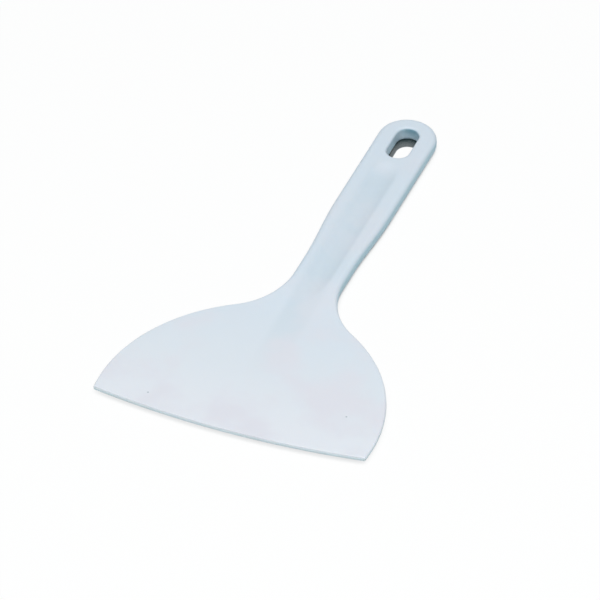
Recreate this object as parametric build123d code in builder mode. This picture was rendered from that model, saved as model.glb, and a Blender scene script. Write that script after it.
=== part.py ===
from build123d import *
from math import asin, degrees, sqrt
import os

# A pan scraper moulded in one piece: a thin fan-shaped blade with a bowed, bevelled
# working edge, a neck where the plate swells, and a flat rounded handle with a
# hanging slot and a shallow grip channel on each face.
# Millimetres. The scraper lies flat: the origin is the centre of its footprint,
# level with the underside of the handle. +Y runs along the handle to the hanging
# end, +X runs across the blade and +Z is up.

# Plan outline
blade_width = 150.0
overall_length = 266.0
edge_bow_radius = 465.0
widest_place = 16.0
shoulder_radius = 91.5
throat_radius = 40.5
neck_width = 27.2
neck_straight = 10.0
grip_swell_length = 45.0
grip_width = 31.5

# Thickness along the length
edge_thickness = 2.6
blade_root_thickness = 3.2
handle_thickness = 8.0
ramp_start = 92.0
ramp_length = 40.0
side_round_share = 0.75

# Working edge
edge_land = 1.5
bevel_width = 0.5

# Hanging slot
slot_length = 25.3
slot_width = 12.2
slot_end_wall = 8.8
slot_rim_bevel = 0.9

# Grip channel, one on each face
channel_width = 14.0
channel_depth = 1.5
channel_run_out = 15.0
channel_slot_gap = 5.0

# Spacing of the sections through the blade, and the overrun of every cut
section_step = 6.5
overrun = 5.0

# Places worked out from the sizes above, counted from the working edge
half_length = overall_length / 2
half_neck = neck_width / 2
half_grip = grip_width / 2
half_handle = handle_thickness / 2
shoulder_x = blade_width / 2 - shoulder_radius
throat_x = half_neck + throat_radius
arc_span = shoulder_radius + throat_radius
throat_y = widest_place + sqrt(arc_span**2 - (throat_x - shoulder_x) ** 2)
turn_share = shoulder_radius / arc_span
turn_y = widest_place + (throat_y - widest_place) * turn_share
handle_y = max(ramp_start + ramp_length, throat_y)
swell_y = handle_y + neck_straight
grip_y = swell_y + grip_swell_length
cap_y = overall_length - half_grip
slot_y = overall_length - slot_end_wall - slot_length / 2
channel_tip_y = slot_y - slot_length / 2 - channel_slot_gap
channel_level_y = channel_tip_y - channel_run_out

# The middle plane of the moulding, with its origin on the working edge
middle = Plane((0, -half_length, half_handle))


def across(y):
    """Upright plane across the scraper at a distance from the working edge."""
    return Plane((0, y - half_length, half_handle), x_dir=(1, 0, 0), z_dir=(0, -1, 0))


def upright(y):
    """Upright axis through the middle line at a distance from the working edge."""
    return Axis((0, y - half_length, 0), (0, 0, 1))


def ease(share):
    """Smooth step from 0 to 1, level at both ends."""
    held = min(max(share, 0), 1)
    return held * held * (3 - 2 * held)


def half_width(y):
    """Half the width of the blade and throat at a distance from the working edge."""
    if y < turn_y:
        return shoulder_x + sqrt(shoulder_radius**2 - (y - widest_place) ** 2)
    if y < throat_y:
        return throat_x - sqrt(throat_radius**2 - (y - throat_y) ** 2)
    return half_neck


def half_thickness(y):
    """Half the thickness: a gently tapered blade, then the ramp up to the handle."""
    taper = (blade_root_thickness - edge_thickness) * min(y / ramp_start, 1)
    swell = (handle_thickness - blade_root_thickness) * ease((y - ramp_start) / ramp_length)
    return (edge_thickness + taper + swell) / 2


with BuildPart() as scraper_moulding:
    # Handle: straight neck, a slow swell to the grip, and a round hanging end
    with BuildSketch(middle.offset(-half_handle)):
        with BuildLine():
            right_side = Line((half_neck, handle_y), (half_neck, swell_y))
            right_swell = Spline((half_neck, swell_y), (half_grip, grip_y), tangents=[(0, 1), (0, 1)])
            right_grip = Line((half_grip, grip_y), (half_grip, cap_y))
            ThreePointArc((half_grip, cap_y), (0, overall_length), (-half_grip, cap_y))
            mirror([right_side, right_swell, right_grip], about=Plane.YZ)
            Line((-half_neck, handle_y), (half_neck, handle_y))
        make_face()
    extrude(amount=handle_thickness)
    levels = scraper_moulding.edges().group_by(Axis.Z)
    for face_edges in (levels[0], levels[-1]):
        # The first edge along the handle is the one that meets the blade, and stays sharp
        fillet(face_edges.sort_by(Axis.Y)[1:], side_round_share * half_handle)

    # Blade, throat and ramp: one skin through rounded sections
    section_count = round((handle_y + overrun) / section_step)
    for step in range(section_count + 1):
        y = handle_y - (handle_y + overrun) * step / section_count
        with BuildSketch(across(y)):
            RectangleRounded(2 * half_width(y), 2 * half_thickness(y), side_round_share * half_thickness(y))
    loft()

    # Bowed working edge, bevelled from both faces down to the land
    trim_height = handle_thickness
    bevel_run_share = bevel_width / ((edge_thickness - edge_land) / 2)
    trim_inset = (trim_height - edge_land / 2) * bevel_run_share
    with BuildSketch(Plane(middle.origin, x_dir=(0, 1, 0), z_dir=(1, 0, 0))):
        with BuildLine():
            Polyline(
                (edge_bow_radius, -trim_height),
                (trim_inset, -trim_height),
                (0, -edge_land / 2),
                (0, edge_land / 2),
                (trim_inset, trim_height),
                (edge_bow_radius, trim_height),
                close=True,
            )
        make_face()
    revolve(axis=upright(edge_bow_radius), mode=Mode.INTERSECT)

    # Hanging slot through the thick end, with its rims broken by a small bevel
    with BuildSketch(middle):
        with Locations((0, slot_y)):
            SlotOverall(slot_length, slot_width, rotation=90)
    extrude(amount=handle_thickness, both=True, mode=Mode.SUBTRACT)
    slot_edges = scraper_moulding.edges(Select.NEW)
    chamfer(slot_edges.group_by(Axis.Z)[0] + slot_edges.group_by(Axis.Z)[-1], slot_rim_bevel)

    # Grip channels: a wide shallow scoop down each face, which rises out at the hanging end
    scoop_radius = (channel_width**2 / 4 + channel_depth**2) / (2 * channel_depth)
    scoop_height = half_handle + scoop_radius - channel_depth
    rise_radius = (channel_run_out**2 + channel_depth**2) / (2 * channel_depth) - scoop_radius
    rise_angle = degrees(2 * asin(channel_run_out / (rise_radius + scoop_radius)))
    for side in (1, -1):
        with BuildSketch(across(channel_level_y)) as scoop:
            with Locations((0, side * scoop_height)):
                Circle(scoop_radius)
        extrude(scoop.sketch, amount=channel_level_y - ramp_start, mode=Mode.SUBTRACT)
        rise_centre = across(channel_level_y).from_local_coords((0, side * (scoop_height + rise_radius)))
        revolve(axis=Axis(rise_centre, (side, 0, 0)), revolution_arc=rise_angle, mode=Mode.SUBTRACT)

scraper_moulding.part.label = "scraper_moulding"

os.makedirs("parts", exist_ok=True)
export_step(scraper_moulding.part, "parts/scraper_moulding.step")
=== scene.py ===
"""A one-piece plastic pan scraper on a white studio floor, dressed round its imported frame."""

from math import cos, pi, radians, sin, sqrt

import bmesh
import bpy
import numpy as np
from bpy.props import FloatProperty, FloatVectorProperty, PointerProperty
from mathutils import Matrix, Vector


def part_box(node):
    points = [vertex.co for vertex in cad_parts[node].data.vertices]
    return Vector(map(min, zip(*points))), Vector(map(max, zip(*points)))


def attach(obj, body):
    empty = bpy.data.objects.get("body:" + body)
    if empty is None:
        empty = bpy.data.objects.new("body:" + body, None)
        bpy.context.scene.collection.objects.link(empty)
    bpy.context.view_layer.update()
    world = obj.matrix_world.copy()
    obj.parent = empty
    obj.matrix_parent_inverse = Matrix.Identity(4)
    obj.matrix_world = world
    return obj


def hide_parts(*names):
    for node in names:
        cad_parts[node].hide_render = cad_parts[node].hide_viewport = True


bl_info = {
    "name": "Pan scraper",
    "version": (1, 0, 0),
    "blender": (4, 5, 0),
    "location": "3D View > Sidebar > Scraper",
    "description": "Models a moulded plastic pan scraper and sets up its studio",
    "category": "Add Mesh",
}

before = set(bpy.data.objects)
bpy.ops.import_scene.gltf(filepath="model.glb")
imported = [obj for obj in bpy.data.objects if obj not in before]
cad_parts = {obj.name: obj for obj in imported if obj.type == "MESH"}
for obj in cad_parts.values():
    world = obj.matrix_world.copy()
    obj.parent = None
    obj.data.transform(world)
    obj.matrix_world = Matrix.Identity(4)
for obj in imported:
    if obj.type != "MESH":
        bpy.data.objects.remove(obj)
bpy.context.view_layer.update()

CAD_NODE = "scraper_moulding"
CAD_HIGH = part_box(CAD_NODE)[1]
BODY = "root"
MM = 0.001


def length(name, description, size):
    """A length property, in metres."""
    return FloatProperty(
        name=name, description=description, default=size, min=0, precision=5, unit="LENGTH"
    )


def share(name, description, size):
    """A property for a share from 0 to 1."""
    return FloatProperty(name=name, description=description, default=size, min=0, max=1, subtype="FACTOR")


def angle(name, description, size):
    """An angle property, given in degrees."""
    return FloatProperty(name=name, description=description, default=radians(size), subtype="ANGLE")


def place(name, description, point):
    """A place or a shift, in metres."""
    return FloatVectorProperty(name=name, description=description, default=point, subtype="TRANSLATION")


def fineness(name, description, value):
    """A property for how fine a noise is, in cells per metre."""
    return FloatProperty(name=name, description=description, default=value, min=0)


def colour(name, description, value):
    """A colour property, linear red, green and blue."""
    return FloatVectorProperty(
        name=name, description=description, default=value, min=0, max=1, subtype="COLOR"
    )


class ScraperSizes(bpy.types.PropertyGroup):
    """Sizes of the moulding, along its own axes."""

    blade_width: length("Blade width", "Width over the shoulders", 2 * CAD_HIGH.x)
    overall_length: length("Overall length", "From working edge to hanging end", 2 * CAD_HIGH.y)
    handle_thickness: length("Handle thickness", "Thickness of the grip", CAD_HIGH.z)
    edge_bow_radius: length("Edge bow", "Radius of the bowed working edge", 465 * MM)
    widest_place: length("Widest place", "Distance of the widest place from the edge", 16 * MM)
    shoulder_radius: length("Shoulder radius", "Radius of each shoulder of the blade", 91.5 * MM)
    throat_radius: length("Throat radius", "Radius where the blade narrows to the neck", 40.5 * MM)
    corner_radius: length("Corner radius", "Rounding of the blade's two corners", 0.7 * MM)
    neck_width: length("Neck width", "Width of the neck", 27.2 * MM)
    neck_straight: length("Neck straight", "Straight stretch of the neck", 10 * MM)
    grip_swell_length: length("Swell length", "Stretch over which the neck widens to the grip", 45 * MM)
    grip_width: length("Grip width", "Width of the grip", 31.5 * MM)
    edge_thickness: length("Edge thickness", "Blade thickness behind the bevel", 2.6 * MM)
    blade_root_thickness: length("Root thickness", "Blade thickness at the foot of the ramp", 3.2 * MM)
    ramp_start: length("Ramp start", "Distance of the ramp's foot from the edge", 92 * MM)
    ramp_length: length("Ramp length", "Stretch over which the plate swells to the grip", 40 * MM)
    side_round: share("Side rounding", "Rounding of the sides, as a share of half the thickness", 0.75)
    edge_land: length("Edge land", "Height of the blunt working edge", 1.5 * MM)
    bevel_width: length("Bevel width", "Width of the bevel on each face", 0.5 * MM)
    bevel_round: length("Bevel rounding", "Softening of the bevel's creases", 0.15 * MM)
    slot_length: length("Slot length", "Length of the hanging slot", 25.3 * MM)
    slot_width: length("Slot width", "Width of the hanging slot", 12.2 * MM)
    slot_end_wall: length("Slot end wall", "Wall between the slot and the hanging end", 8.8 * MM)
    slot_rim_radius: length("Slot rim", "Rounding of the slot's rims", 1.4 * MM)
    channel_width: length("Channel width", "Width of the grip channel", 14 * MM)
    channel_depth: length("Channel depth", "Depth of the grip channel", 1.5 * MM)
    channel_run_out: length("Channel run-out", "Stretch over which the channel rises out", 15 * MM)
    channel_slot_gap: length("Channel gap", "Gap between the grip channel and the slot", 5 * MM)
    channel_round: length("Channel rounding", "Softening of the channel's creases", 0.35 * MM)
    seam_height: length("Seam height", "Height of the mould's parting line", 0.05 * MM)
    seam_width: length("Seam width", "Width of the mould's parting line", 0.35 * MM)
    mesh_step: length("Mesh step", "Usual distance between rows of the mesh", 1.8 * MM)


class ScraperFinish(bpy.types.PropertyGroup):
    """Colours and surface of the plastic; the channel's and the walls' colours are painted light and shade.
    """

    edge_colour: colour("Edge colour", "Plastic behind the working edge", (0.775, 0.800, 0.870))
    blade_colour: colour("Blade colour", "Plastic where the plate is thin", (0.740, 0.785, 0.855))
    handle_colour: colour("Handle colour", "Plastic where the plate is thick", (0.680, 0.760, 0.858))
    # Painted shade: the grip channel is coloured darker, as its recess lies in shade
    channel_shade_colour: colour("Channel colour", "Grip channel, a little duller", (0.620, 0.710, 0.805))
    # Painted light: the blade's thin upright walls are coloured lighter than its face
    blade_wall_light_colour: colour("Rim colour", "Thin upright walls of the blade", (0.81, 0.87, 0.92))
    # Painted shade: the handle's upright walls are coloured darker than its faces
    handle_wall_shade_colour: colour("Depth colour", "Upright walls of the handle", (0.520, 0.690, 0.790))
    # Painted shade: the walls inside the slot are coloured darker than the handle's faces
    slot_wall_shade_colour: colour("Slot wall colour", "Upright walls in the slot", (0.62, 0.74, 0.83))
    # Painted shade: the slot's far wall gets the darkest colour
    far_wall_shade_colour: colour("Far wall colour", "Slot's far wall, the darkest place", (0.255, 0.435, 0.537))
    blush_colour: colour("Blush colour", "Warmer clouds in the plastic", (0.745, 0.748, 0.825))
    speck_colour: colour("Speck colour", "Two dark specks on the blade", (0.30, 0.36, 0.43))
    cloud_fineness: fineness("Cloud fineness", "Fineness of the clouds", 28)
    roughness: share("Roughness", "Roughness of the moulded skin", 0.5)
    smear: share("Smears", "How much smears change the roughness", 0.12)
    smear_fineness: fineness("Smear fineness", "Fineness of the smears", 190)
    grain_height: length("Grain height", "Depth of the moulded skin's grain", 0.012 * MM)
    grain_fineness: fineness("Grain fineness", "Fineness of the grain", 1400)
    sink_fineness: fineness("Sink fineness", "Fineness of the shallow sinks in the face", 60)
    glow_depth: length("Glow depth", "How deep light enters the plastic", 1.5 * MM)


class StageSettings(bpy.types.PropertyGroup):
    """Camera, lamps and floor."""

    view_azimuth: angle("View azimuth", "Camera's turn round the scraper", 22.139)
    view_elevation: angle("View elevation", "Camera's height", 39.97)
    view_distance: length("View distance", "Camera's distance from the point it looks at", 5.0)
    view_width: length("View width", "Width of the picture at the scraper", 308.17 * MM)
    target: place("Target", "Point at the middle of the picture", (-3.26 * MM, -23.06 * MM, 4 * MM))
    key_azimuth: angle("Key azimuth", "Key lamp's turn round the scraper", 25)
    key_elevation: angle("Key elevation", "Key lamp's height", 70)
    key_distance: length("Key distance", "Key lamp's distance from the scraper", 2.2)
    key_size: length("Key size", "Side of the key lamp", 1.5)
    key_level: share("Key level", "Share of the light on a level face from the key", 0.85)
    key_tint: colour("Key tint", "Colour of the key", (1.0, 0.985, 0.96))
    ambient_level: share("Ambient level", "Strength of the light from all round", 0.24)
    ambient_tint: colour("Ambient tint", "Colour of the light from all round", (0.80, 0.97, 1.0))
    floor_reach: length("Floor reach", "Half the side of the floor", 4.0)
    floor_colour: colour("Floor colour", "Colour of the open floor", (0.95, 0.96, 0.965))
    floor_lift: share("Floor lift", "How far the open floor is lifted to white", 0.9)
    contact_reach: length("Contact reach", "How far the scraper's contact shadow reaches", 12 * MM)
    blade_contact: share("Blade contact", "Contact shadow under the blade, which lies above the floor", 0.2)
    contact_colour: colour("Contact colour", "Floor close under the scraper", (0.08, 0.12, 0.12))
    bounce_colour: colour("Bounce colour", "Light that the floor throws back", (0.62, 0.71, 0.73))
    slot_light: place("Slot light", "How far aside the light lands", (2.2 * MM, -5.6 * MM, 0))
    slot_light_blur: length("Slot light blur", "Width of that patch's soft edge", 0.8 * MM)
    slot_shade: share("Slot shade", "How light the shaded floor in the slot is", 0.08)
    slot_colour: colour("Slot colour", "Floor in the shade of the slot", (0.03, 0.05, 0.055))


def ease(part):
    """Smooth step from 0 to 1, level at both ends."""
    held = np.clip(part, 0, 1)
    return held * held * (3 - 2 * held)


def soft_min(first, second, blend):
    """The lower of two heights, with the crease where they meet rounded."""
    near = np.clip(1 - np.abs(first - second) / blend, 0, 1)
    return np.minimum(first, second) - near * near * blend / 4


def round_drop(distance, radius):
    """How far a quarter-round rim has dropped at a distance from its wall."""
    left = np.clip(1 - distance / radius, 0, 1)
    return radius * (1 - np.sqrt(1 - left * left))


# Rounds in which a place that depends on itself settles
SETTLE_ROUNDS = 30
# How far the channel's rising floor is followed, as a share of its run-out, to be clear of the face
RISE_REACH_SHARE = 2


class Plan:
    """The moulding as formulas, with y counted from the working edge and z from the middle plane."""

    def __init__(self, sizes):
        self.sizes = sizes
        self.half_neck = sizes.neck_width / 2
        self.half_grip = sizes.grip_width / 2
        self.half_slot = sizes.slot_width / 2
        self.half_channel = sizes.channel_width / 2
        self.shoulder_x = sizes.blade_width / 2 - sizes.shoulder_radius
        self.throat_x = self.half_neck + sizes.throat_radius
        arc_span = sizes.shoulder_radius + sizes.throat_radius
        throat_rise = sqrt(arc_span**2 - (self.throat_x - self.shoulder_x) ** 2)
        self.throat_y = sizes.widest_place + throat_rise
        self.turn_y = sizes.widest_place + throat_rise * sizes.shoulder_radius / arc_span
        self.swell_y = max(sizes.ramp_start + sizes.ramp_length, self.throat_y) + sizes.neck_straight
        self.cap_y = sizes.overall_length - self.half_grip
        slot_y = sizes.overall_length - sizes.slot_end_wall - sizes.slot_length / 2
        self.slot_top_y = slot_y + sizes.slot_length / 2 - self.half_slot
        self.slot_low_y = slot_y - sizes.slot_length / 2 + self.half_slot
        self.channel_tip_y = self.slot_low_y - self.half_slot - sizes.channel_slot_gap
        self.channel_level_y = self.channel_tip_y - sizes.channel_run_out
        self.scoop_radius = (self.half_channel**2 + sizes.channel_depth**2) / (2 * sizes.channel_depth)
        self.rise_radius = (sizes.channel_run_out**2 + sizes.channel_depth**2) / (2 * sizes.channel_depth)
        self.corner_y = sizes.widest_place
        for _ in range(SETTLE_ROUNDS):
            self.corner_y = float(self.edge_sag(self.half_width(self.corner_y)))

    def half_width(self, y):
        """Half the width of the plate, up to where the end's arc begins."""
        sizes = self.sizes
        shoulder_rise = np.clip(sizes.shoulder_radius**2 - (y - sizes.widest_place) ** 2, 0, None)
        throat_rise = np.clip(sizes.throat_radius**2 - (y - self.throat_y) ** 2, 0, None)
        swell = ease((y - self.swell_y) / sizes.grip_swell_length)
        return np.select(
            [y < self.turn_y, y < self.throat_y],
            [self.shoulder_x + np.sqrt(shoulder_rise), self.throat_x - np.sqrt(throat_rise)],
            self.half_neck + (self.half_grip - self.half_neck) * swell,
        )

    def edge_sag(self, x):
        """How far the bowed working edge has fallen back at a distance from the middle."""
        radius = self.sizes.edge_bow_radius
        return radius - np.sqrt(radius**2 - x * x)

    def from_edge(self, x, y):
        """Distance from the working edge's wall, which stands back by the height of the parting line."""
        sizes = self.sizes
        return sizes.edge_bow_radius - sizes.seam_height - np.hypot(x, y - sizes.edge_bow_radius)

    def half_thickness(self, y):
        """Half the thickness: a gently tapered blade, then the ramp up to the handle."""
        sizes = self.sizes
        taper = (sizes.blade_root_thickness - sizes.edge_thickness) * np.minimum(y / sizes.ramp_start, 1)
        rise = sizes.handle_thickness - sizes.blade_root_thickness
        swell = rise * ease((y - sizes.ramp_start) / sizes.ramp_length)
        return (sizes.edge_thickness + taper + swell) / 2

    def height(self, x, y, inset):
        """Height of the face, where inset is the distance from the side wall."""
        sizes = self.sizes
        half = self.half_thickness(y)
        face = half - round_drop(inset, sizes.side_round * half)
        from_edge = self.from_edge(x, y)
        slope = (sizes.edge_thickness - sizes.edge_land) / 2 / sizes.bevel_width
        bevel = sizes.edge_land / 2 + from_edge * slope - round_drop(from_edge, sizes.bevel_round)
        face = soft_min(face, bevel, sizes.bevel_round)
        rise_reach = sizes.channel_run_out * RISE_REACH_SHARE
        past_level = np.clip(y - self.channel_level_y, 0, rise_reach)
        rise = self.rise_radius - np.sqrt(self.rise_radius**2 - past_level * past_level)
        dip = self.scoop_radius - np.sqrt(np.clip(self.scoop_radius**2 - x * x, 0, None))
        scoop = sizes.handle_thickness / 2 - sizes.channel_depth + rise + dip
        face = soft_min(face, scoop, sizes.channel_round)
        axis_y = np.clip(y, self.slot_low_y, self.slot_top_y)
        from_slot = np.hypot(x, y - axis_y) - self.half_slot
        return face - round_drop(from_slot, sizes.slot_rim_radius)


# Columns of the mesh: from the middle line to the channel's crease, and on to the side's rounding
CREASE_SHARES = (0, 0.17, 0.34, 0.5, 0.64, 0.76, 0.86, 0.93, 0.975)
LAND_SHARES = (0, 0.03, 0.09, 0.18, 0.31, 0.46, 0.63, 0.81)
# Where the crease's column may lie, as shares of the neck's and the grip's half width
CREASE_NECK_SHARE = 0.7
CREASE_GRIP_SHARE = 0.78
# The same column beside the slot, as a share of its widest place below it
CREASE_SLOT_SHARE = 0.9
# Rows of the mesh near the working edge, as shares of the bevel's width
BEVEL_SHARES = (2.6, 1.8, 1.4, 1.2, 1.08, 1.0, 0.92, 0.8, 0.5, 0.25)
BEVEL_START_SHARE = 4
# Steps of the mesh round the side, the bevel's crease, the slot's rim and walls, and the hanging end
ROUND_STEPS = 8
CREASE_STEPS = 4
RIM_STEPS = 5
WALL_STEPS = 3
SLOT_SIDE_STEPS = 8
CAP_STEPS = 16
# Rows beside the channel's end and on the blade, as shares of the usual mesh step
CHANNEL_STEP_SHARE = 0.5
BLADE_STEP_SHARE = 1.25
# How soon the rows below the slot straighten, and where those on the blade begin to follow its bow
LAG_SHARE = 2.5
BOW_FADE_SHARE = 0.55
# Parting line: the heights of its rows as shares of half its width, and how far each stands out
SEAM_LEVEL_SHARES = (1.0, 0.6, 0.3, 0.0)
SEAM_RISE_SHARES = (0.0, 0.3, 0.85, 1.0)
SEAM_TOP_GAP_SHARE = 0.02
# Points along the fine outline that the rows are placed on
FINE_CAP_STEPS = 400
FINE_SIDE_STEPS = 8000
WELD_DISTANCE = 0.001 * MM


def quarter_turn(steps):
    """Angles from 0 to a right angle."""
    return np.linspace(0, pi / 2, steps + 1)


def slot_contour(plan):
    """Right half of the slot from its far end to its foot: points, and directions into the plastic."""
    turn = quarter_turn(CAP_STEPS)
    side_y = np.linspace(plan.slot_top_y, plan.slot_low_y, SLOT_SIDE_STEPS + 1)[1:-1]
    upper = np.stack([np.sin(turn), np.cos(turn)], 1)
    lower = np.stack([np.cos(turn), -np.sin(turn)], 1)
    side = np.tile([1.0, 0.0], (len(side_y), 1))
    ways = np.concatenate([upper, side, lower])
    upper_y = np.full(len(upper), plan.slot_top_y)
    lower_y = np.full(len(lower), plan.slot_low_y)
    axis_y = np.concatenate([upper_y, side_y, lower_y])
    points = ways * plan.half_slot
    points[:, 1] += axis_y
    return points, ways


def side_outline(plan):
    """Right half of the outline from the far end to the corner, as fine points."""
    turn = quarter_turn(FINE_CAP_STEPS)
    cap = np.stack([np.sin(turn), np.cos(turn)], 1) * plan.half_grip
    cap[:, 1] += plan.cap_y
    y = np.linspace(plan.cap_y, plan.corner_y, FINE_SIDE_STEPS)[1:]
    return np.concatenate([cap, np.stack([plan.half_width(y), y], 1)])


def run_along(points):
    """Distance along a line of points."""
    steps = np.linalg.norm(np.diff(points, axis=0), axis=1)
    return np.concatenate([[0.0], np.cumsum(steps)])


def bow_weight(plan, level):
    """How much a row across the blade follows the bow of the working edge."""
    return 1 - ease(level / (plan.sizes.ramp_start * BOW_FADE_SHARE))


def station_lines(plan):
    """The mesh's lines across the right half: inner ends, outer ends, and how much each follows the bow."""
    sizes = plan.sizes
    outline = side_outline(plan)
    run = run_along(outline)
    level = outline[:, 1].copy()
    for _ in range(SETTLE_ROUNDS):
        level = outline[:, 1] - plan.edge_sag(outline[:, 0]) * bow_weight(plan, level)

    def run_at(y):
        """Distance along the outline at which it passes a height of y."""
        return np.interp(-y, -outline[:, 1], run)

    slot_points, slot_ways = slot_contour(plan)
    slot_outer = slot_points + slot_ways * sizes.slot_rim_radius
    cap_run = run_at(plan.cap_y)
    side_run = run_at(plan.slot_low_y)
    foot_run = side_run + plan.half_grip
    channel_run = run_at(plan.channel_level_y)
    throat_run = run_at(plan.throat_y)
    edge_run = np.interp(-BEVEL_START_SHARE * sizes.bevel_width, -level, run)
    bevel_levels = sizes.bevel_width * np.array(BEVEL_SHARES)
    land_levels = sizes.bevel_round * (1 - np.sin(quarter_turn(CREASE_STEPS)))
    edge_levels = sizes.seam_height + np.maximum(np.concatenate([bevel_levels, land_levels]), 0)

    def stretch(first, last, step):
        """Even distances from one place to another, without the first."""
        count = max(1, round((last - first) / step))
        return np.linspace(first, last, count + 1)[1:]

    runs = np.concatenate([
        np.linspace(0, cap_run, CAP_STEPS + 1),
        np.linspace(cap_run, side_run, SLOT_SIDE_STEPS + 1)[1:],
        np.linspace(side_run, foot_run, CAP_STEPS + 1)[1:],
        stretch(foot_run, channel_run, sizes.mesh_step * CHANNEL_STEP_SHARE),
        stretch(channel_run, throat_run, sizes.mesh_step),
        stretch(throat_run, edge_run, sizes.mesh_step * BLADE_STEP_SHARE),
        np.interp(-edge_levels, -level, run),
    ])
    outer = np.stack([np.interp(runs, run, outline[:, 0]), np.interp(runs, run, outline[:, 1])], 1)
    levels = np.interp(runs, run, level)
    # Below the slot the rows start lower in the middle than at the side, and straighten by and by
    count = len(slot_points)
    lag = slot_outer[-1, 1] - outer[count - 1, 1]
    lag_run = lag * LAG_SHARE
    inner = np.zeros_like(outer)
    inner[:, 1] = levels + lag * (1 - ease((runs - foot_run) / lag_run))
    inner[:count] = slot_outer
    return inner, outer, bow_weight(plan, levels)


def outward(points):
    """Unit normals of a line of points that runs clockwise round the part."""
    along = np.gradient(points, axis=0)
    normals = np.stack([-along[:, 1], along[:, 0]], 1)
    return normals / np.linalg.norm(normals, axis=1, keepdims=True)


def face_block(plan):
    """One quarter of the moulding's skin: the right half of its upper face."""
    sizes = plan.sizes
    inner, outer, weight = station_lines(plan)
    fine = side_outline(plan)
    normals = outward(fine)
    nearest = np.array([np.argmin(np.linalg.norm(fine - point, axis=1)) for point in outer])
    normals = normals[nearest]
    outer = outer - normals * sizes.seam_height
    across = outer - inner
    reach = np.linalg.norm(across, axis=1)
    square = np.abs(np.sum(across * normals, axis=1)) / reach
    rounding = sizes.side_round * plan.half_thickness(outer[:, 1])
    rim = 1 - rounding / (reach * square)
    flat_x = inner[:, 0] + across[:, 0] * rim
    least, most = plan.half_neck * CREASE_NECK_SHARE, plan.half_grip * CREASE_GRIP_SHARE
    crease = plan.half_channel / np.clip(flat_x, least, most)
    crease = np.where(inner[:, 0] > 0, crease.max() * CREASE_SLOT_SHARE, crease)
    parts = [rim * crease * part for part in CREASE_SHARES]
    parts += [rim * (crease + (1 - crease) * part) for part in LAND_SHARES]
    parts += [rim + (1 - rim) * np.sin(turn) for turn in quarter_turn(ROUND_STEPS)]
    parts = np.stack(parts, 1)
    x = inner[:, :1] + across[:, :1] * parts
    y = inner[:, 1:] + across[:, 1:] * parts
    bend = plan.edge_sag(x) - parts * plan.edge_sag(outer[:, :1])
    y = y + weight[:, None] * bend
    inset = (1 - parts) * (reach * square)[:, None]
    return x, y, inset


def round_corner(plan, x, y, inset):
    """Rounds the blade's corner in plan, by bending the rows near it onto a quarter disc."""
    radius = plan.sizes.corner_radius
    side = np.clip(1 - inset / radius, 0, 1)
    edge = np.clip(1 - plan.from_edge(x, y) / radius, 0, 1)
    side_shift = radius * (side - side * np.sqrt(1 - edge**2 / 2))
    edge_shift = radius * (edge - edge * np.sqrt(1 - side**2 / 2))
    return x - side_shift, y + edge_shift


def quarter_skin(plan):
    """Blocks of points that cover the upper right quarter of the moulding down to its middle plane."""
    sizes = plan.sizes
    x, y, inset = face_block(plan)
    z = plan.height(x, y, inset)
    x, y = round_corner(plan, x, y, inset)
    face = np.stack([x, y, z], 2)

    slot_points, slot_ways = slot_contour(plan)
    steps = sizes.slot_rim_radius * (1 - np.cos(quarter_turn(RIM_STEPS)))
    rim_xy = slot_points[:, None, :] + slot_ways[:, None, :] * steps[None, :, None]
    rim_z = plan.height(rim_xy[..., 0], rim_xy[..., 1], sizes.grip_width)
    slot_rim = np.concatenate([rim_xy, rim_z[..., None]], 2)

    fall = np.linspace(1, 0, WALL_STEPS + 1)
    slot_wall = np.repeat(slot_rim[:, :1, :], len(fall), 1)
    slot_wall[..., 2] *= fall

    border = np.concatenate([face[:, -1], face[-1, -2::-1]])
    # On the middle line the wall faces straight along the scraper, so that both halves meet
    ways = outward(border[:, :2])
    ways[-1] = (0, -1)
    ways[0] = (0, 1)
    seam_levels = sizes.seam_width / 2 * np.array(SEAM_LEVEL_SHARES)
    seam_rises = sizes.seam_height * np.array(SEAM_RISE_SHARES)
    top = border[:, 2]
    wall = [border]
    for level, rise in zip(seam_levels, seam_rises):
        row = border.copy()
        row[:, :2] += ways * rise
        row[:, 2] = np.minimum(top * (1 - SEAM_TOP_GAP_SHARE * (level > 0)), level)
        wall.append(row)
    return [face, slot_rim, slot_wall, np.stack(wall, 1)]


def skin_mesh(plan, name):
    """The whole skin: the quarter mirrored to both sides and both faces, and welded."""
    points, faces = [], []
    for block in quarter_skin(plan):
        rows, columns = block.shape[:2]
        first = np.arange(rows * columns).reshape(rows, columns)
        corners = [first[:-1, :-1], first[1:, :-1], first[1:, 1:], first[:-1, 1:]]
        quads = np.stack(corners, 2).reshape(-1, 4)
        for flip in ((1, 1), (-1, 1), (1, -1), (-1, -1)):
            turned = quads if flip[0] * flip[1] > 0 else quads[:, ::-1]
            faces.append(turned + sum(len(part) for part in points))
            points.append(block.reshape(-1, 3) * (flip[0], 1, flip[1]))
    points = np.concatenate(points)
    points[:, 1] -= plan.sizes.overall_length / 2
    points[:, 2] += plan.sizes.handle_thickness / 2
    mesh = bpy.data.meshes.new(name)
    mesh.from_pydata(points.tolist(), [], np.concatenate(faces).tolist())
    work = bmesh.new()
    work.from_mesh(mesh)
    bmesh.ops.remove_doubles(work, verts=work.verts, dist=WELD_DISTANCE)
    bmesh.ops.recalc_face_normals(work, faces=work.faces)
    work.to_mesh(mesh)
    work.free()
    mesh.shade_smooth()
    return mesh


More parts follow.
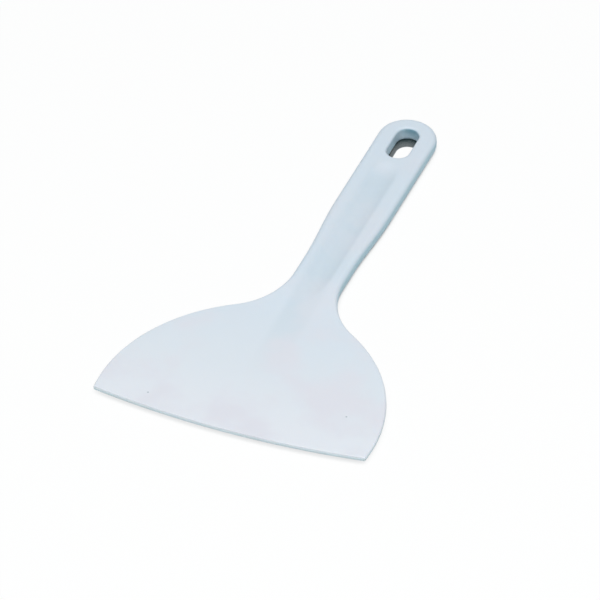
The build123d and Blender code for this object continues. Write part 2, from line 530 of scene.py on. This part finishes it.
class Value:
    """A shader socket that takes part in sums as a number does."""

    def __init__(self, net, socket):
        self.net = net
        self.socket = socket

    def _math(self, operation, first, second):
        """A Math node on two values."""
        return self.net.add("ShaderNodeMath", {"operation": operation}, {0: first, 1: second})

    def __add__(self, other):
        return self._math("ADD", self, other)

    def __radd__(self, other):
        return self._math("ADD", other, self)

    def __sub__(self, other):
        return self._math("SUBTRACT", self, other)

    def __rsub__(self, other):
        return self._math("SUBTRACT", other, self)

    def __mul__(self, other):
        return self._math("MULTIPLY", self, other)

    def __rmul__(self, other):
        return self._math("MULTIPLY", other, self)

    def __abs__(self):
        return self._math("ABSOLUTE", self, 0.0)


class Net:
    """A node tree that is filled one node at a time."""

    def __init__(self, tree):
        self.tree = tree
        tree.nodes.clear()

    def add(self, kind, settings=None, sockets=None, output=0):
        """Adds a node, sets it up, fills its sockets and hands back one of its outputs."""
        node = self.tree.nodes.new(kind)
        for name, value in (settings or {}).items():
            setattr(node, name, value)
        for name, value in (sockets or {}).items():
            if isinstance(value, Value):
                self.tree.links.new(value.socket, node.inputs[name])
            else:
                node.inputs[name].default_value = value
        return Value(self, node.outputs[output]) if node.outputs else None

    def mix(self, factor, first, second):
        """A colour between two colours, by the node's own colour sockets."""
        sockets = {"Factor": factor, 6: first, 7: second}
        return self.add("ShaderNodeMix", {"data_type": "RGBA"}, sockets, 2)

    def ramp(self, value, low, high):
        """0 below low, 1 above high and smooth between."""
        sockets = {"Value": value, "From Min": low, "From Max": high}
        return self.add("ShaderNodeMapRange", {"interpolation_type": "SMOOTHSTEP"}, sockets)

    def noise(self, point, fine, detail):
        """A soft noise that is fixed to the piece."""
        return self.add("ShaderNodeTexNoise", None, {"Vector": point, "Scale": fine, "Detail": detail})

    def distance(self, point, spot):
        """Distance from a fixed spot."""
        return self.add("ShaderNodeVectorMath", {"operation": "DISTANCE"}, {0: point, 1: spot}, "Value")


def with_alpha(value):
    """A colour property as the four numbers that a colour socket takes."""
    return (*value, 1.0)


def from_slot_axis(net, point, sizes):
    """Distance in plan from the line that joins the centres of the slot's round ends."""
    slot_y = sizes.overall_length / 2 - sizes.slot_end_wall - sizes.slot_length / 2
    half_axis = (sizes.slot_length - sizes.slot_width) / 2
    across = net.add("ShaderNodeSeparateXYZ", None, {"Vector": point}, "X")
    along = net.add("ShaderNodeSeparateXYZ", None, {"Vector": point}, "Y")
    past_axis = abs(along - slot_y) - half_axis
    beyond = net.add("ShaderNodeMath", {"operation": "MAXIMUM"}, {0: past_axis, 1: 0.0})
    flat = net.add("ShaderNodeCombineXYZ", None, {"X": across, "Y": beyond})
    return net.add("ShaderNodeVectorMath", {"operation": "LENGTH"}, {0: flat}, "Value")


# How far past the slot's rim its mask fades, as a share of the rim's rounding
SLOT_FADE_SHARE = 1.5


def within_slot(net, point, sizes):
    """1 in the slot and on its walls, 0 farther out."""
    rim = sizes.slot_rim_radius
    mouth = sizes.slot_width / 2 + rim
    return 1 - net.ramp(from_slot_axis(net, point, sizes), mouth, mouth + rim * SLOT_FADE_SHARE)


# Two dark specks on the blade's face, and how strongly they show
SPECKS = (Vector((-46.7 * MM, -121.1 * MM, 5.3 * MM)), Vector((53.8 * MM, -101.0 * MM, 5.3 * MM)))
SPECK_RADIUS = 0.7 * MM
SPECK_CORE_SHARE = 0.4
SPECK_STRENGTH = 0.7

# Where one tone of the plastic passes into the next, or a painted shade fades (in the grip channel and on the
# slot's far wall):
# shares of the channel's width, the ramp's length and the handle's thickness
CHANNEL_FADE_SHARES = (0.37, 0.72)
THICK_LEAD_SHARE = 1.6
FAR_WALL_CORE_SHARE = 0.2

# Noise levels at which a cloud begins and is full, and how much the clouds fade on the handle
CLOUD_SPAN = (0.42, 0.66)
CLOUD_FADE = 0.6

# How steep a face is, by its normal's height, where it takes the walls' painted light and shade
UPRIGHT_SPAN = (0.1, 0.7)

# Weights of the grain and the sinks in the relief, detail of each noise, and how light enters the plastic
CLOUD_DETAIL = 3.0
SMEAR_DETAIL = 4.0
GRAIN_DETAIL = 2.0
SINK_DETAIL = 1.0
GRAIN_WEIGHT = 0.35
SINK_WEIGHT = 4.0
PLASTIC_IOR = 1.49
GLOW_WEIGHT = 0.12
GLOW_RADII = (0.8, 1.0, 1.2)


def tone_of_plate(net, point, finish, sizes):
    """Colour of the plate's faces along its length, with painted shade in the grip channel, and how far it
    counts as thick there.
    """
    across = net.add("ShaderNodeSeparateXYZ", None, {"Vector": point}, "X")
    along = net.add("ShaderNodeSeparateXYZ", None, {"Vector": point}, "Y")
    half_length = sizes.overall_length / 2
    ramp_foot = sizes.ramp_start - half_length
    channel_tip = half_length - sizes.slot_end_wall - sizes.slot_length - sizes.channel_slot_gap
    past_channel = net.ramp(along, channel_tip - sizes.channel_run_out, channel_tip)
    fade_start, fade_end = (sizes.channel_width * part for part in CHANNEL_FADE_SHARES)
    beside_channel = net.ramp(abs(across), fade_start, fade_end)
    # Painted shade: the channel's darker colour, fading along its run-out and past its creases
    in_channel = (1 - past_channel) * (1 - beside_channel)
    thick_start = ramp_foot - sizes.ramp_length * THICK_LEAD_SHARE
    thick = net.ramp(along, thick_start, ramp_foot + sizes.ramp_length)
    near_edge = 1 - net.ramp(along, -half_length, ramp_foot - sizes.ramp_length)
    handle = net.mix(in_channel, with_alpha(finish.handle_colour), with_alpha(finish.channel_shade_colour))
    plate = net.mix(thick, with_alpha(finish.blade_colour), handle)
    return net.mix(near_edge, plate, with_alpha(finish.edge_colour)), thick


def wall_light_and_shade(net, point, finish, sizes, thick):
    """Painted light and shade on the upright walls: lighter along the blade, painted shade round the handle
    and in the slot.
    """
    wall = net.mix(thick, with_alpha(finish.blade_wall_light_colour), with_alpha(finish.handle_wall_shade_colour))
    return net.mix(within_slot(net, point, sizes), wall, with_alpha(finish.slot_wall_shade_colour))


def pale_plastic(finish, sizes):
    """Satin moulded plastic, paler where the plate is thin, with soft clouds and two specks; painted shade
    darkens the grip channel, the handle's and the slot's upright walls and most the slot's far wall, and
    painted light brightens the blade's thin upright walls.
    """
    material = bpy.data.materials.new("pale_plastic")
    material.use_nodes = True
    net = Net(material.node_tree)
    point = net.add("ShaderNodeTexCoord", output="Object")
    base, thick = tone_of_plate(net, point, finish, sizes)
    clouds = net.noise(point, finish.cloud_fineness, CLOUD_DETAIL)
    cloudy = net.ramp(clouds, *CLOUD_SPAN) * (1 - thick * CLOUD_FADE)
    base = net.mix(cloudy, base, with_alpha(finish.blush_colour))
    facing = net.add("ShaderNodeNewGeometry", output="True Normal")
    up = net.add("ShaderNodeSeparateXYZ", None, {"Vector": facing}, "Z")
    upright = 1 - net.ramp(abs(up), *UPRIGHT_SPAN)
    # Painted light and shade: steep faces take the walls' colours in place of the face's
    base = net.mix(upright, base, wall_light_and_shade(net, point, finish, sizes, thick))
    # Painted shade: the slot's far wall is darkest round the middle of its top rim, fading within the
    # handle's thickness
    far_wall = Vector((0, sizes.overall_length / 2 - sizes.slot_end_wall, sizes.handle_thickness))
    reach = sizes.handle_thickness
    at_far_wall = 1 - net.ramp(net.distance(point, far_wall), reach * FAR_WALL_CORE_SHARE, reach)
    base = net.mix(upright * at_far_wall, base, with_alpha(finish.far_wall_shade_colour))
    for speck in SPECKS:
        mark = 1 - net.ramp(net.distance(point, speck), SPECK_RADIUS * SPECK_CORE_SHARE, SPECK_RADIUS)
        base = net.mix(mark * SPECK_STRENGTH, base, with_alpha(finish.speck_colour))
    grain = net.noise(point, finish.grain_fineness, GRAIN_DETAIL)
    sinks = net.noise(point, finish.sink_fineness, SINK_DETAIL)
    smears = net.noise(point, finish.smear_fineness, SMEAR_DETAIL)
    relief = {"Height": grain * GRAIN_WEIGHT + sinks * SINK_WEIGHT, "Distance": finish.grain_height}
    shader = net.add(
        "ShaderNodeBsdfPrincipled",
        None,
        {
            "Base Color": base,
            "Roughness": finish.roughness - finish.smear / 2 + smears * finish.smear,
            "Normal": net.add("ShaderNodeBump", None, relief),
            "IOR": PLASTIC_IOR,
            "Subsurface Weight": GLOW_WEIGHT,
            "Subsurface Radius": GLOW_RADII,
            "Subsurface Scale": finish.glow_depth,
        },
    )
    net.add("ShaderNodeOutputMaterial", None, {"Surface": shader})
    return material


def seen_directly(net):
    """1 for rays that show the background: from the camera, or by way of a mirror or glass."""
    seen = 0
    for kind in ("Is Camera Ray", "Is Glossy Ray", "Is Transmission Ray"):
        seen = net.add("ShaderNodeLightPath", output=kind) + seen
    return net.add("ShaderNodeClamp", None, {"Value": seen})


# Shares of open air over the floor between which the contact shadow fades, beside the scraper and in the slot
AIR_SPAN = (0.05, 0.65)
SLOT_AIR_SPAN = (0.38, 0.45)
AIR_SAMPLES = 8
WHITE = (1.0, 1.0, 1.0, 1.0)


def open_floor(net, point, stage, sizes):
    """1 where the floor lies open and 0 in the contact shadow, and a mask of the slot."""
    along = net.add("ShaderNodeSeparateXYZ", None, {"Vector": point}, "Y")
    ramp_foot = sizes.ramp_start - sizes.overall_length / 2
    under_handle = net.ramp(along, ramp_foot, ramp_foot + sizes.ramp_length)
    air = net.add(
        "ShaderNodeAmbientOcclusion", {"samples": AIR_SAMPLES}, {"Distance": stage.contact_reach}, "AO"
    )
    strength = stage.blade_contact + (1 - stage.blade_contact) * under_handle
    open_beside = 1 - (1 - net.ramp(air, *AIR_SPAN)) * strength
    way_back = net.add("ShaderNodeVectorMath", {"operation": "SUBTRACT"}, {0: point, 1: stage.slot_light})
    from_light = from_slot_axis(net, way_back, sizes)
    half_slot, half_blur = sizes.slot_width / 2, stage.slot_light_blur / 2
    lit = 1 - net.ramp(from_light, half_slot - half_blur, half_slot + half_blur)
    shaded = stage.slot_shade * net.ramp(air, *SLOT_AIR_SPAN)
    open_within = shaded + lit * (1 - shaded)
    in_slot = within_slot(net, point, sizes)
    return open_beside + in_slot * (open_within - open_beside), in_slot


def floor_material(stage, sizes):
    """A white floor that keeps the scraper's shadow, lifted towards white in the picture."""
    material = bpy.data.materials.new("studio_floor")
    material.use_nodes = True
    net = Net(material.node_tree)
    point = net.add("ShaderNodeTexCoord", output="Object")
    open_air, in_slot = open_floor(net, point, stage, sizes)
    contact = net.mix(in_slot, with_alpha(stage.contact_colour), with_alpha(stage.slot_colour))
    seen = seen_directly(net)
    thrown_back = net.mix(open_air, contact, with_alpha(stage.bounce_colour))
    shown = net.mix(open_air, contact, with_alpha(stage.floor_colour))
    matt = net.add("ShaderNodeBsdfDiffuse", None, {"Color": net.mix(seen, thrown_back, shown)})
    glow = net.add("ShaderNodeEmission", None, {"Color": WHITE, "Strength": 1.0})
    lift = seen * stage.floor_lift * open_air
    shader = net.add("ShaderNodeMixShader", None, {0: lift, 1: matt, 2: glow})
    net.add("ShaderNodeOutputMaterial", None, {"Surface": shader})
    return material


class SCRAPER_OT_moulding(bpy.types.Operator):
    """Models the scraper's one moulding and gives it its plastic"""

    bl_idname = "scraper.moulding"
    bl_label = "Scraper moulding"

    def execute(self, context):
        sizes = context.scene.scraper_sizes
        mesh = skin_mesh(Plan(sizes), "moulded_scraper")
        mesh.materials.append(pale_plastic(context.scene.scraper_finish, sizes))
        piece = bpy.data.objects.new("moulded_scraper", mesh)
        context.scene.collection.objects.link(piece)
        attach(piece, BODY)
        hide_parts(CAD_NODE)
        return {"FINISHED"}


# The camera sees from this part of its distance to this many times it
CLIP_FACTOR = 10


def aim_at(scene, name, data, target, azimuth, elevation, distance):
    """Hangs a lamp or a camera in the scene, aimed at a point from the given side."""
    way = Vector((sin(azimuth) * cos(elevation), -cos(azimuth) * cos(elevation), sin(elevation)))
    holder = bpy.data.objects.new(name, data)
    holder.location = Vector(target) + way * distance
    holder.rotation_euler = (-way).to_track_quat("-Z", "Y").to_euler()
    scene.collection.objects.link(holder)
    return holder


class SCRAPER_OT_stage(bpy.types.Operator):
    """Sets up the floor, the light and the camera"""

    bl_idname = "scraper.stage"
    bl_label = "Scraper stage"

    def execute(self, context):
        scene = context.scene
        stage = scene.scraper_stage
        self.lay_floor(scene, stage)
        self.light(scene, stage)
        self.aim_camera(scene, stage)
        scene.view_settings.view_transform = "Standard"
        return {"FINISHED"}

    def lay_floor(self, scene, stage):
        """The floor, whose middle lies behind the scraper."""
        mesh = bpy.data.meshes.new("studio_floor")
        reach = stage.floor_reach
        near, far = -reach / 2, reach * 3 / 2
        corners = [(-reach, near, 0), (reach, near, 0), (reach, far, 0), (-reach, far, 0)]
        mesh.from_pydata(corners, [], [(0, 1, 2, 3)])
        mesh.materials.append(floor_material(stage, scene.scraper_sizes))
        floor = bpy.data.objects.new("studio_floor", mesh)
        scene.collection.objects.link(floor)

    def light(self, scene, stage):
        """One soft key lamp and a pale sky, which the camera sees as white."""
        lamp = bpy.data.lights.new("key", "AREA")
        lamp.size = stage.key_size
        lamp.color = stage.key_tint
        # A lamp's power spreads over the square of pi times its distance, and lands aslant on a level face
        lamp.energy = stage.key_level * (pi * stage.key_distance) ** 2 / sin(stage.key_elevation)
        aim_at(scene, "key", lamp, (0, 0, 0), stage.key_azimuth, stage.key_elevation, stage.key_distance)
        world = bpy.data.worlds.new("studio")
        world.use_nodes = True
        scene.world = world
        net = Net(world.node_tree)
        seen = seen_directly(net)
        tint = net.mix(seen, with_alpha(stage.ambient_tint), WHITE)
        strength = stage.ambient_level + seen * (1 - stage.ambient_level)
        sky = net.add("ShaderNodeBackground", None, {"Color": tint, "Strength": strength})
        net.add("ShaderNodeOutputWorld", None, {"Surface": sky})

    def aim_camera(self, scene, stage):
        """A long lens, so that the picture is nearly without perspective."""
        lens = bpy.data.cameras.new("camera")
        distance = stage.view_distance
        lens.lens = lens.sensor_width * distance / stage.view_width
        lens.clip_start = distance / CLIP_FACTOR
        lens.clip_end = distance * CLIP_FACTOR
        turn, height = stage.view_azimuth, stage.view_elevation
        scene.camera = aim_at(scene, "camera", lens, stage.target, turn, height, distance)


class SCRAPER_PT_sidebar(bpy.types.Panel):
    """Lists the scraper's sizes, finish and stage"""

    bl_idname = "SCRAPER_PT_sidebar"
    bl_label = "Pan scraper"
    bl_space_type = "VIEW_3D"
    bl_region_type = "UI"
    bl_category = "Scraper"

    def draw(self, context):
        scene = context.scene
        for group in (scene.scraper_sizes, scene.scraper_finish, scene.scraper_stage):
            box = self.layout.box()
            for name in group.__annotations__:
                box.prop(group, name)
        for operator in (SCRAPER_OT_moulding, SCRAPER_OT_stage):
            self.layout.operator(operator.bl_idname)


CLASSES = (
    ScraperSizes,
    ScraperFinish,
    StageSettings,
    SCRAPER_OT_moulding,
    SCRAPER_OT_stage,
    SCRAPER_PT_sidebar,
)


def register():
    for cls in CLASSES:
        bpy.utils.register_class(cls)
    bpy.types.Scene.scraper_sizes = PointerProperty(type=ScraperSizes)
    bpy.types.Scene.scraper_finish = PointerProperty(type=ScraperFinish)
    bpy.types.Scene.scraper_stage = PointerProperty(type=StageSettings)


def unregister():
    del bpy.types.Scene.scraper_stage
    del bpy.types.Scene.scraper_finish
    del bpy.types.Scene.scraper_sizes
    for cls in reversed(CLASSES):
        bpy.utils.unregister_class(cls)


def main():
    """Builds the scraper and its stage."""
    register()
    bpy.ops.scraper.moulding()
    bpy.ops.scraper.stage()


if __name__ == "__main__":
    main()
